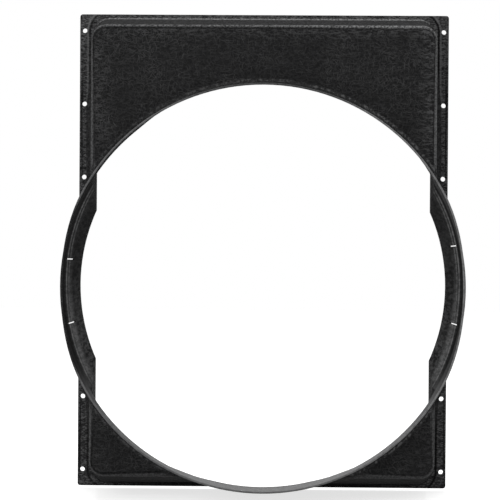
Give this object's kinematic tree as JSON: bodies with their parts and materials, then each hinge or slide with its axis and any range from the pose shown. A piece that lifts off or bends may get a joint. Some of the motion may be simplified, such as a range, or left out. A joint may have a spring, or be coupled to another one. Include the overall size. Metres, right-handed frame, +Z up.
{
  "type": "radiator fan shroud",
  "caption": "Black moulded fan shroud: a shallow pan with a large round collar round the fan, bulging past the pan at the sides and bottom, with drilled side flanges.",
  "frame": {"origin": "floor point under the middle of the shroud: centre of the bounding box in X and Y, at its lowest height", "axes": "+Z up along the shroud's height, +Y out of the mounting plane towards the radiator, so the collar's rim faces -Y, +X to the right as seen from the rim"},
  "size_m": [0.853, 0.175, 1.0495],
  "materials": {
    "moulding": "black glass-fibre polyester with grey chopped strands showing in its surface, satin"
  },
  "bodies": {
    "root": {"fan_shroud": "moulding"}
  },
  "joints": []
}
